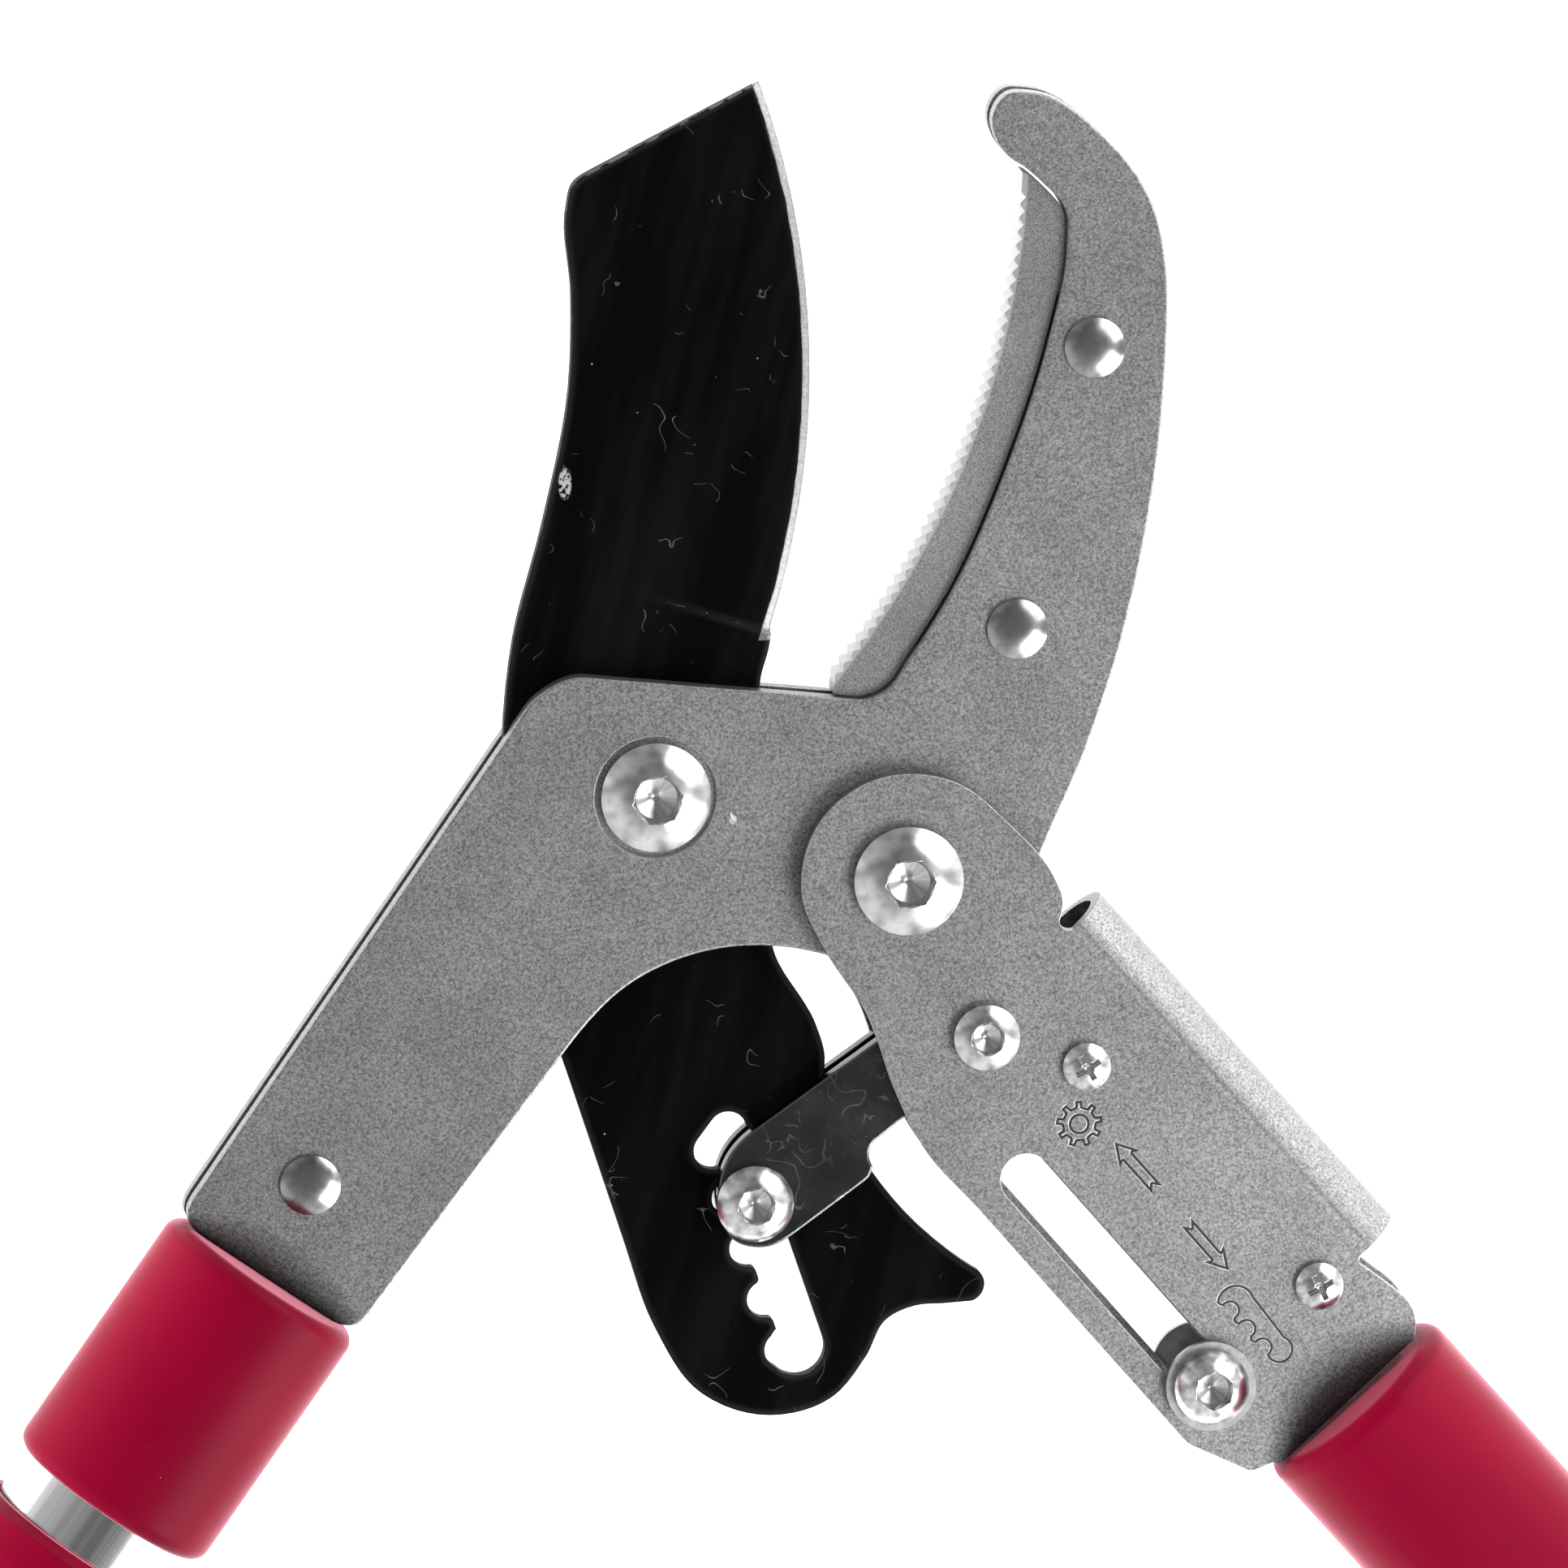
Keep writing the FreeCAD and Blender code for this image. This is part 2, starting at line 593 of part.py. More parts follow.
def link_spring():
    """A flat two-turn torsion spring between the link plates, hooked over the post."""
    wire_r = 0.5
    coil_r = LINK_BUSH_R + 0.25 + wire_r
    leg_r = 0.9 * wire_r
    turns = []
    for height in (-0.55, 0.55):
        turns.append(Part.makeTorus(coil_r, wire_r, at(LINK_PIVOT, height), V(0, 0, 1)))
    legs = []
    start = V(LINK_PIVOT[0], LINK_PIVOT[1] - coil_r, -0.55)
    post = at(LEVER_SCREWS[0], -0.55)
    legs.append(Part.makeCylinder(leg_r, 12.2, start, V(post.x - start.x, post.y - 4.2 - start.y, 0)))
    tail = V(LINK_PIVOT[0], LINK_PIVOT[1] + coil_r, 0.55)
    legs.append(Part.makeCylinder(leg_r, 11.0, tail, V(-0.98, -0.2, 0)))
    bridge = Part.makeCylinder(0.8 * wire_r, 1.1, V(LINK_PIVOT[0] + coil_r, LINK_PIVOT[1], -0.55))
    return turns[0].multiFuse([bridge, turns[1]] + legs)


def selector_washers():
    front = tube(SELECTOR, 7.05, SELECTOR_SHANK_R, SHEET_OUT + 0.15, SHEET_OUT + 1.35)
    rear = tube(SELECTOR, 7.05, SELECTOR_SHANK_R, -SHEET_OUT - 1.35, -SHEET_OUT - 0.15)
    return Part.makeCompound([front, rear])


# ---------- handles ----------

def handle_frame(mouth, direction):
    """Maps a handle drawn along +Z, with the tool's front towards +Y, into place."""
    axis = V(direction[0], direction[1], 0).normalize()
    width = V(0, 0, 1).cross(axis)
    turn = FreeCAD.Rotation(width, V(0, 0, 1), axis, "ZYX")
    return FreeCAD.Placement(at(mouth), turn).toMatrix()


def ring(outer, inner, start, end):
    return tube((0, 0), outer, inner, start, end)


def sleeve(tang_half_width, tang_half):
    """The ferrule: round outside, a slot for the tang, and a socket for the tube."""
    body = Part.makeCylinder(SLEEVE_R, SLEEVE_LEN)
    ends = [edge for edge in body.Edges if edge.BoundBox.ZLength < 1e-6]
    body = body.makeFillet(2.6, ends)
    body = body.cut(rod((0, 0), TUBE_R, TUBE_START, SLEEVE_LEN + 1))
    slot = Part.makeBox(2 * tang_half_width, 2 * tang_half, TUBE_START + 2,
                        V(-tang_half_width, -tang_half, -1))
    return body.cut(slot)


def tube_core(tang_half_width, tang_half):
    """The plug inside the tube's end that the tang and its cross pin hold."""
    core = rod((0, 0), TUBE_R - TUBE_WALL, TUBE_START, 46)
    slot = Part.makeBox(2 * tang_half_width, 2 * tang_half, 34, V(-tang_half_width, -tang_half, 7))
    return core.cut(slot).cut(core_pin())


def core_pin():
    pin = rod((0, 0), 2.5, -12.0, 12.0)
    pin.rotate(V(0, 0, 0), V(1, 0, 0), 90)
    pin.translate(V(0, 0, 28))
    return pin


def guide_bush():
    """The bush at the inner tube's far end, which slides in the outer tube."""
    head = ring(OUTER_R - OUTER_WALL - 0.1, 9.0, TUBE_END, TUBE_END + 10)
    spigot = ring(TUBE_R - TUBE_WALL, 9.0, TUBE_END - 14, TUBE_END + 1)
    return head.fuse(spigot).removeSplitter()


def lock_collar():
    """The twist collar, with shallow finger flutes around its middle."""
    inner = TUBE_R + 0.3
    profile = [(inner, COLLAR_START), (COLLAR_R - 2.4, COLLAR_START), (COLLAR_R - 0.7, COLLAR_START + 1.4),
               (COLLAR_R, COLLAR_START + 6), (COLLAR_R, COLLAR_END - 6),
               (COLLAR_R - 0.6, COLLAR_END - 1.2), (COLLAR_R - 1.6, COLLAR_END),
               (OUTER_R + RUNNING, COLLAR_END), (OUTER_R + RUNNING, COLLAR_START + 3), (inner, COLLAR_START + 3)]
    collar = turned((0, 0), profile)
    for k in range(12):
        angle = radians(30 * k + 15)
        flute = rounded_cutter(2.4, COLLAR_START + 7.5, COLLAR_END - 7.5)
        flute.translate(V((COLLAR_R + 1.35) * cos(angle), (COLLAR_R + 1.35) * sin(angle), 0))
        collar = collar.cut(flute)
    return collar


def rounded_cutter(radius, low, high):
    """A round bar with ball ends along Z."""
    bar = rod((0, 0), radius, low, high)
    for height in (low, high):
        bar = bar.fuse(Part.makeSphere(radius, V(0, 0, height)))
    return bar


def collet():
    """The split clamp ring that the collar squeezes on the inner tube."""
    body = ring(OUTER_R - 0.1, TUBE_R + 0.3, COLLAR_START + 3.2, OUTER_START - 0.2)
    return body.cut(Part.makeBox(20, 1.6, 30, V(0, -0.8, COLLAR_START)))


def outer_tube():
    return ring(OUTER_R, OUTER_R - OUTER_WALL, OUTER_START, OUTER_END)


def grip():
    """The soft sleeve: a raised front stop, a gentle waist and a flared end."""
    profile = [(OUTER_R, GRIP_START), (COLLAR_R - 1.2, GRIP_START), (COLLAR_R, GRIP_START + 3),
               (COLLAR_R, GRIP_START + 12), (COLLAR_R - 1.1, GRIP_START + 22),
               (COLLAR_R - 1.1, GRIP_START + 60), (COLLAR_R - 0.3, GRIP_START + 105),
               (COLLAR_R - 1.1, GRIP_START + 150), (COLLAR_R - 1.1, GRIP_END - 24),
               (COLLAR_R, GRIP_END - 12), (COLLAR_R, GRIP_END - 0.2), (OUTER_R, GRIP_END - 0.2)]
    return turned((0, 0), profile)


def end_cap():
    """A plug with a rounded cap and a flat lug, pierced so that the tool can hang."""
    plug = rod((0, 0), OUTER_R - OUTER_WALL, OUTER_END - 18, OUTER_END)
    cap = Part.makeCylinder(COLLAR_R - 0.2, CAP_END - OUTER_END, V(0, 0, OUTER_END))
    top = [edge for edge in cap.Edges if edge.BoundBox.ZLength < 1e-6 and edge.BoundBox.ZMin > OUTER_END + 1]
    cap = cap.makeFillet(4.5, top)
    lug = Part.makeBox(22, 2 * LUG_HALF, HANG_HOLE_AT - CAP_END + 4, V(-11, -LUG_HALF, CAP_END - 4))
    eye = rod((0, 0), 11, -LUG_HALF, LUG_HALF)
    eye.rotate(V(0, 0, 0), V(1, 0, 0), 90)
    eye.translate(V(0, 0, HANG_HOLE_AT))
    hole = rod((0, 0), HANG_HOLE_R, -9, 9)
    hole.rotate(V(0, 0, 0), V(1, 0, 0), 90)
    hole.translate(V(0, 0, HANG_HOLE_AT))
    return plug.fuse(cap).fuse(lug).fuse(eye).cut(hole).removeSplitter()


def left_tang():
    """A flat bar between the jaw plates, held by the arm rivet and the core pin."""
    reach = 22.0
    bar = Part.makeBox(16, 2 * PLATE_IN, reach + 40, V(-8, -PLATE_IN, -reach))
    bar = bar.cut(core_pin()).transformed(handle_frame(LEFT_MOUTH, LEFT_DIR))
    return bar.cut(rod(ARM_RIVET, RIVET_SHANK_R, -9, 9))


def right_tang():
    """A thick bar between the lever's sheets, held by the lower screw and the core pin."""
    reach = 24.0
    bar = Part.makeBox(20, 2 * SHEET_IN, reach + 40, V(-10, -SHEET_IN, -reach))
    bar = bar.cut(core_pin()).transformed(handle_frame(RIGHT_MOUTH, RIGHT_DIR))
    return bar.cut(rod(LEVER_SCREWS[1], SCREW_SHANK_R, -9, 9))


def handle(side, mouth, direction, tang_half_width, tang_half):
    """All the pieces of one handle below its tang."""
    drawn = {
        "sleeve": sleeve(tang_half_width, tang_half),
        "tube_core": tube_core(tang_half_width, tang_half),
        "core_pin": core_pin(),
        "inner_tube": ring(TUBE_R, TUBE_R - TUBE_WALL, TUBE_START, TUBE_END),
        "guide_bush": guide_bush(),
        "lock_collar": lock_collar(),
        "collet": collet(),
        "outer_tube": outer_tube(),
        "grip": grip(),
        "end_cap": end_cap(),
    }
    matrix = handle_frame(mouth, direction)
    pieces = {}
    for name, shape in drawn.items():
        pieces[side + "_" + name] = shape.transformed(matrix)
    return pieces


# ---------- the whole tool ----------

def head_pieces():
    bolt_end = -PLATE_OUT - 6.0
    lever_seat = SHEET_OUT + 0.15
    pieces = {
        "jaw_plate_front": jaw_plate_front(),
        "jaw_plate_rear": behind(jaw_plate()),
        "anvil_insert": anvil_insert(),
        "jaw_rivets": Part.makeCompound([rivet(point) for point in JAW_RIVETS]),
        "arm_rivet": rivet(ARM_RIVET),
        "left_tang": left_tang(),
        "blade_pivot_bolt": button_bolt(BLADE_PIVOT, PLATE_OUT - 0.6, PIVOT_HEAD_R, PIVOT_HEAD_H,
                                        6.9, PIVOT_SHANK_R, bolt_end, 10),
        "blade_pivot_bush": tube(BLADE_PIVOT, BUSH_R, PIVOT_SHANK_R, -PLATE_IN, PLATE_IN),
        "blade_pivot_nut": hex_nut(BLADE_PIVOT, 17.0, -PLATE_OUT, -PLATE_OUT - 5.6, PIVOT_SHANK_R, 8),
        "lever_pivot_bolt": button_bolt(LEVER_PIVOT, lever_seat, PIVOT_HEAD_R, PIVOT_HEAD_H,
                                        6.9, PIVOT_SHANK_R, -lever_seat - 5.6, 4),
        "lever_pivot_spacer": tube(LEVER_PIVOT, 8.0, PIVOT_SHANK_R, -PLATE_IN, PLATE_IN),
        "lever_pivot_nut": hex_nut(LEVER_PIVOT, 17.0, -lever_seat, -lever_seat - 5.4, PIVOT_SHANK_R, 22),
        "blade": blade(),
        "lever_housing": lever_housing(),
        "lever_screws": Part.makeCompound([cross_screw(LEVER_SCREWS[0], 31),
                                           cross_screw(LEVER_SCREWS[1], 27)]),
        "lever_screw_nuts": Part.makeCompound([hex_nut(point, 7.0, -SHEET_OUT, -SHEET_OUT - 3.0,
                                                       SCREW_SHANK_R, 15) for point in LEVER_SCREWS]),
        "lever_post": tube(LEVER_SCREWS[0], 3.4, SCREW_SHANK_R, -SHEET_IN, SHEET_IN),
        "right_tang": right_tang(),
        "link_pivot_bolt": button_bolt(LINK_PIVOT, SHEET_OUT, 5.15, 2.9, 4.6, LINK_SHANK_R,
                                       -SHEET_OUT - 4.2, 20),
        "link_pivot_bush": tube(LINK_PIVOT, LINK_BUSH_R, LINK_SHANK_R, -SHEET_IN, SHEET_IN),
        "link_pivot_nut": hex_nut(LINK_PIVOT, 10.0, -SHEET_OUT, -SHEET_OUT - 4.0, LINK_SHANK_R, 5),
        "link_spring": link_spring(),
        "link_plate_front": link_plate(),
        "link_plate_rear": behind(link_plate()),
        "ratchet_pin": ratchet_pin(),
        "ratchet_pin_nut": tube(RATCHET_PIN, 5.5, PIN_R, -LINK_OUT - 3.4, -LINK_OUT),
        "selector_bolt": button_bolt(SELECTOR, SHEET_OUT + 1.35, 5.85, 4.4, 5.4, SELECTOR_SHANK_R,
                                     -SHEET_OUT - 5.0, 25),
        "selector_washers": selector_washers(),
        "selector_bush": tube(SELECTOR, 3.4, SELECTOR_SHANK_R, -SHEET_IN + 0.2, SHEET_IN - 0.2),
        "selector_nut": cap_nut(SELECTOR, 6.0, -SHEET_OUT - 1.35, -SHEET_OUT - 8.4, SELECTOR_SHANK_R),
    }
    return pieces


def tool():
    pieces = head_pieces()
    pieces.update(handle("left", LEFT_MOUTH, LEFT_DIR, 8.0, PLATE_IN))
    pieces.update(handle("right", RIGHT_MOUTH, RIGHT_DIR, 10.0, SHEET_IN))
    return pieces


def to_ground(pieces):
    """Moves the tool so that the origin is under its middle, on the ground."""
    box = Part.makeCompound(list(pieces.values())).optimalBoundingBox()
    shift = V(-box.Center.x, -box.Center.y, -box.ZMin)
    for shape in pieces.values():
        shape.translate(shift)
    return shift


parts = tool()
blade_pivot_at = to_ground(parts)
os.makedirs("parts", exist_ok=True)
for node, shape in parts.items():
    shape.exportStep("parts/" + node + ".step")
print("nodes", len(parts), "blade pivot at", blade_pivot_at)
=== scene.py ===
import bpy
import bmesh
import json
from math import atan2, cos, pi, radians, sin
from mathutils import Matrix, Vector


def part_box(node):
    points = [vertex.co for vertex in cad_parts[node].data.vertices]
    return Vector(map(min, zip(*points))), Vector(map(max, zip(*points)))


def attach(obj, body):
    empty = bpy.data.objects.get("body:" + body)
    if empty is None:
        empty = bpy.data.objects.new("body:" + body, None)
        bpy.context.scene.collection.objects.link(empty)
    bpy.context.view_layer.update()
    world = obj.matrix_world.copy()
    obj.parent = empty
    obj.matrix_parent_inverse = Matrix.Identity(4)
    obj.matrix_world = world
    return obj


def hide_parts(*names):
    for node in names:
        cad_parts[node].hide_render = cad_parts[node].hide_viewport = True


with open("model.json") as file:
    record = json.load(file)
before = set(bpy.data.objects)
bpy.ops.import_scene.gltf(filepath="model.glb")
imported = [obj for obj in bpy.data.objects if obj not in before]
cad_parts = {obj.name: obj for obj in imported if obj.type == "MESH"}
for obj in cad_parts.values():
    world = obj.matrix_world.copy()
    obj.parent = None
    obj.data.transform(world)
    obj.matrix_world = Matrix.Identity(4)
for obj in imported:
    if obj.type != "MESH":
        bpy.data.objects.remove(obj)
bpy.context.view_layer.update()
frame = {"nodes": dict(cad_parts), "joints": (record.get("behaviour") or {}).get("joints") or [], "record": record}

joints = {joint["name"]: joint for joint in frame["joints"]}
BLADE_PIVOT = Vector(joints["blade_pivot"]["pos_m"])
SIDES = ("left", "right")
AXES = {side: Vector(joints[side + "_handle_slide"]["axis"]).normalized() for side in SIDES}
UP = Vector((0.0, 0.0, 1.0))
TO_JAWS = Vector((0.0, 1.0, 0.0))
FLAT = (1.0, 1.0, 0.0)   # multiplied by a place, leaves its X and Y
ORIGIN = (0.0, 0.0, 0.0)

# Camera: nearly straight down, from far off, a little from the jaws' end and the left
VIEW_DIRECTION = Vector((-0.125, 0.1875, 1.0))
VIEW_DISTANCE = 2.8
VIEW_CENTRE = Vector((0.0204, 0.0008, 0.0))   # from the blade pivot
LENS = 417.4
SENSOR_WIDTH = 36.0
VIEW_END = 50.0

# Colours (linear)
STEEL = (0.285, 0.285, 0.288)
ANVIL_STEEL = (0.28, 0.28, 0.283)
TOOTH_STEEL = (0.52, 0.52, 0.53)
# bright edges: painted highlight, with some real wear
WORN_AND_HIGHLIT_EDGE = (0.86, 0.86, 0.87)
ENGRAVED_FLOOR = (0.065, 0.065, 0.066)
PALE_DIRT = (0.95, 0.95, 0.95)
# painted shade where each sleeve meets its plate
SLEEVE_SHADE_TONE = (0.004, 0.004, 0.004)
POLISHED = (0.70, 0.70, 0.71)
RIVET_STEEL = (0.40, 0.40, 0.405)
WASHER_STEEL = (0.56, 0.56, 0.565)
PLAIN_STEEL = (0.42, 0.42, 0.43)
BRONZE = (0.50, 0.33, 0.15)
LINK_STEEL = (0.085, 0.085, 0.088)
LINK_SCRATCH = (0.34, 0.34, 0.35)
LINK_CURL = (0.6, 0.6, 0.61)
LINK_EDGE_HIGHLIGHT = (0.8, 0.8, 0.81)
COATING = (0.0009, 0.0009, 0.0010)
COATING_SMEAR = (0.0032, 0.0032, 0.0034)
COATING_EDGE_HIGHLIGHT = (0.022, 0.022, 0.023)
GROUND_EDGE = (0.33, 0.33, 0.335)
GROUND_MARK = (0.20, 0.20, 0.205)
LINT = (0.42, 0.42, 0.42)
CRIMSON = (0.15, 0.0003, 0.013)
PINK_DUST = (0.95, 0.38, 0.48)
TUBE_METAL = (0.86, 0.86, 0.875)
OUTER_TUBE = (0.36, 0.365, 0.375)
BLACK_PLASTIC = (0.016, 0.016, 0.017)
BLACK_RUBBER = (0.014, 0.014, 0.015)
GREY_DUST = (0.3, 0.3, 0.3)
FLOOR_COLOUR = (0.92, 0.92, 0.92)
FLOOR_DARKER = (0.915, 0.915, 0.915)
FLOOR_LIGHTER = (0.93, 0.93, 0.93)

# Marks, in metres from the blade pivot. The cutting edge and the anvil's face are arcs.
EDGE_CENTRE = Vector((-0.1076, 0.0654, 0.0))
EDGE_RADIUS = 0.1320
BEVEL_WIDTH = 0.0012
BEVEL_WAVE = 0.0005
BEVEL_FADE = (0.00020, 0.00030)
BEVEL_HEEL = (0.0235, 0.0239)        # the bevel starts this far towards the jaws
WORN_TIP = (0.094, 0.098)            # and from here on the blade's edges are rubbed
ANVIL_CENTRE = Vector((-0.0753, 0.1009, 0.0))
ANVIL_RADIUS = 0.1322
TOOTH_DEPTH = 0.0011
ENGRAVED_DEPTH = 0.00012
CHIP = (Vector((-0.0136, 0.0486, 0.0)), 0.0011, 0.0026)      # middle, half width, half length
SMUDGE = (Vector((0.0119, -0.0034, 0.0)), 0.0007, 0.0012)

# Blasted steel: noise cells per metre, and how far painted shade reaches from each ferrule
SHEET_GRAIN = 2600.0
ANVIL_GRAIN = 4200.0
LEVER_SHADE_REACH = 0.009
JAW_SHADE_REACH = 0.006

# Values of a noise: where nearly all lie, and a narrower band for more contrast
MOST = (0.3, 0.7)
MIDDLE = (0.35, 0.65)


# ---------- node helpers ----------

class Look:
    """One material: a Principled shader, and short calls that add what feeds it."""

    def __init__(self, name, colour, roughness, metallic=0.0):
        self.material = bpy.data.materials.new(name)
        self.material.use_nodes = True
        self.nodes = self.material.node_tree.nodes
        self.links = self.material.node_tree.links
        self.shader = self.nodes["Principled BSDF"]
        self.set("Base Color", (*colour, 1.0))
        self.set("Roughness", roughness)
        self.set("Metallic", metallic)
        self.place = self.nodes.new("ShaderNodeTexCoord").outputs["Object"]
        self.normal = None

    def set(self, socket, value):
        self.shader.inputs[socket].default_value = value

    def feed(self, socket, output):
        self.links.new(output, self.shader.inputs[socket])

    def fill(self, socket, value, constants):
        """Sets a node's socket where the value is one of the constant types, or else links it."""
        if isinstance(value, constants):
            socket.default_value = tuple(value) if isinstance(value, Vector) else value
        else:
            self.links.new(value, socket)

    def surface(self, output="Normal"):
        return self.nodes.new("ShaderNodeNewGeometry").outputs[output]

    def stretched(self, turn, scale):
        """Coordinates turned about Z and then scaled, for streaks along a direction."""
        place = self.place
        for name, value in (("Rotation", (0.0, 0.0, turn)), ("Scale", scale)):
            mapping = self.nodes.new("ShaderNodeMapping")
            mapping.inputs[name].default_value = value
            self.links.new(place, mapping.inputs["Vector"])
            place = mapping.outputs["Vector"]
        return place

    def noise(self, scale, detail=2.0, rough=0.5, place=None):
        node = self.nodes.new("ShaderNodeTexNoise")
        node.inputs["Scale"].default_value = scale
        node.inputs["Detail"].default_value = detail
        node.inputs["Roughness"].default_value = rough
        self.links.new(place or self.place, node.inputs["Vector"])
        return node.outputs["Fac"]

    def cells(self, scale):
        """Distance from scattered points, in shares of their spacing."""
        node = self.nodes.new("ShaderNodeTexVoronoi")
        node.inputs["Scale"].default_value = scale
        self.links.new(self.place, node.inputs["Vector"])
        return node.outputs["Distance"]

    def spread(self, value, source, target=(0.0, 1.0)):
        """Maps a value from one range to another, held at the ends."""
        node = self.nodes.new("ShaderNodeMapRange")
        names = ("From Min", "From Max", "To Min", "To Max")
        for name, number in zip(names, (*source, *target)):
            node.inputs[name].default_value = number
        self.links.new(value, node.inputs["Value"])
        return node.outputs["Result"]

    def math(self, operation, *values):
        node = self.nodes.new("ShaderNodeMath")
        node.operation = operation
        for socket, value in zip(node.inputs, values):
            self.fill(socket, value, float)
        return node.outputs[0]

    def product(self, first, *others):
        for other in others:
            first = self.math("MULTIPLY", first, other)
        return first

    def mix(self, factor, a, b):
        node = self.nodes.new("ShaderNodeMix")
        node.data_type = "RGBA"
        self.links.new(factor, node.inputs["Factor"])
        for name, value in (("A", a), ("B", b)):
            socket = [s for s in node.inputs if s.name == name and s.type == "RGBA"][0]
            self.fill(socket, (*value, 1.0) if isinstance(value, tuple) else value, tuple)
        return [s for s in node.outputs if s.type == "RGBA"][0]

    def vector(self, operation, a, b):
        node = self.nodes.new("ShaderNodeVectorMath")
        node.operation = operation
        second = node.inputs["Scale"] if operation == "SCALE" else node.inputs[1]
        self.fill(node.inputs[0], a, (Vector, tuple))
        self.fill(second, b, (Vector, tuple))
        return node.outputs["Value" if operation in ("DOT_PRODUCT", "DISTANCE") else "Vector"]

    def bump(self, height, strength, distance):
        node = self.nodes.new("ShaderNodeBump")
        node.inputs["Strength"].default_value = strength
        node.inputs["Distance"].default_value = distance
        self.links.new(height, node.inputs["Height"])
        if self.normal is not None:
            self.links.new(self.normal, node.inputs["Normal"])
        self.feed("Normal", node.outputs["Normal"])

    def bevelled(self, radius):
        """The surface's normal with sharp edges rounded off."""
        node = self.nodes.new("ShaderNodeBevel")
        node.samples = 4
        node.inputs["Radius"].default_value = radius
        return node.outputs["Normal"]

    def round_edges(self, radius):
        """Softens sharp edges a little in the light, as deburring does."""
        self.normal = self.bevelled(radius)
        self.feed("Normal", self.normal)

    def edge_mask(self, radius):
        """Near 1 within a radius of a sharp edge, and 0 on open faces."""
        agreement = self.vector("DOT_PRODUCT", self.bevelled(radius), self.surface())
        return self.spread(agreement, (0.995, 0.90))

    def along(self, direction, start=0.0):
        """Distance along a direction, from a start."""
        return self.math("SUBTRACT", self.vector("DOT_PRODUCT", self.place, direction), start)

    def apart(self, point):
        """Distance from a point, seen from above."""
        return self.vector("DISTANCE", self.vector("MULTIPLY", self.place, FLAT), (point.x, point.y, 0.0))

    def spot(self, where, core, grain_per_m):
        """A ragged oval spot near the blade pivot: full inside its core, and gone at its rim."""
        middle, half_width, half_length = where
        off = self.vector("SUBTRACT", self.place, BLADE_PIVOT + middle)
        off = self.vector("MULTIPLY", off, (1.0 / half_width, 1.0 / half_length, 0.0))
        oval = self.spread(self.vector("DISTANCE", off, ORIGIN), (1.0, core))
        return self.product(oval, self.spread(self.noise(grain_per_m), (0.42, 0.50), (0.0, 0.8)))

    def fibres(self, size, thin, sparse, seed):
        """Fine curly lines, like lint or light scratches: level lines of a noise, mostly hidden."""
        moved = self.vector("ADD", self.place, (seed, seed * 0.7, 0.0))
        elsewhere = self.vector("ADD", moved, (5.0, 3.0, 0.0))
        level = self.math("ABSOLUTE", self.math("SUBTRACT", self.noise(size, 1.0, 0.4, moved), 0.5))
        shown = self.spread(self.noise(size * 0.8, 1.0, 0.5, elsewhere), (sparse, sparse + 0.02))
        return self.product(self.spread(level, (thin, 0.0)), shown)


def tinted(colour, factor):
    """A colour made darker or lighter, no brighter than white."""
    return tuple(min(1.0, channel * factor) for channel in colour)


# ---------- blasted steel, and the layers on it ----------

def blasted_steel(name, colour, grain_per_m, *layers):
    """Bead-blasted steel: a fine pebbled grain, faint blotches, dark specks and bright edges, painted as both wear
    and highlight.

    Each layer is called with the look, its tone so far and its grain, and gives the new tone."""
    look = Look(name, colour, roughness=0.46, metallic=1.0)
    look.round_edges(0.00025)
    grain = look.noise(grain_per_m, detail=3.0, rough=0.65)
    blotch = look.noise(70.0, detail=3.0, rough=0.6)
    pebbled = look.spread(grain, (0.32, 0.68), (0.55, 1.45))
    shade = look.product(pebbled, look.spread(blotch, MIDDLE, (0.98, 1.02)))
    dark = tinted(colour, 0.40)
    tone = look.mix(look.spread(shade, (0.5, 1.5)), dark, tinted(colour, 1.55))
    speck = look.spread(look.cells(900.0), (0.10, 0.02))
    tone = look.mix(look.product(speck, look.spread(blotch, (0.60, 0.66), (0.0, 0.8))), tone, dark)
    # bright edges: painted highlight along sharp edges, mixed with real wear
    worn_and_highlit = look.product(look.edge_mask(0.00022), look.spread(grain, (0.3, 0.5), (0.4, 0.9)))
    tone = look.mix(worn_and_highlit, tone, WORN_AND_HIGHLIT_EDGE)
    for layer in layers:
        tone = layer(look, tone, grain)
    look.feed("Base Color", tone)
    look.feed("Roughness", look.spread(blotch, MOST, (0.44, 0.50)))
    look.bump(grain, strength=0.60, distance=0.00006)
    return look.material


def bright_teeth(look, tone, grain):
    """The anvil's teeth, lighter down to near their roots."""
    roots = ANVIL_RADIUS + TOOTH_DEPTH
    full_tone_radius = ANVIL_RADIUS + 0.7 * TOOTH_DEPTH
    teeth = look.spread(look.apart(BLADE_PIVOT + ANVIL_CENTRE), (roots, full_tone_radius), (0.0, 0.85))
    return look.mix(teeth, tone, TOOTH_STEEL)


def pale_smudge(look, tone, grain):
    """One pale smudge beside the blade bolt."""
    return look.mix(look.spot(SMUDGE, core=0.6, grain_per_m=1300.0), tone, PALE_DIRT)


def engraving(top):
    """A layer that darkens the floors of the shallow marks cut into the face at this height."""
    def layer(look, tone, grain):
        depth = look.along(-UP, -top)
        deep_enough = look.spread(depth, (0.4 * ENGRAVED_DEPTH, 0.7 * ENGRAVED_DEPTH))
        not_below = look.spread(depth, (1.3 * ENGRAVED_DEPTH, 1.8 * ENGRAVED_DEPTH), (1.0, 0.0))
        upright = look.vector("DOT_PRODUCT", look.surface("True Normal"), UP)
        level = look.spread(upright, (0.998, 0.9995), (0.35, 1.0))
        return look.mix(look.product(deep_enough, not_below, level), tone, ENGRAVED_FLOOR)
    return layer


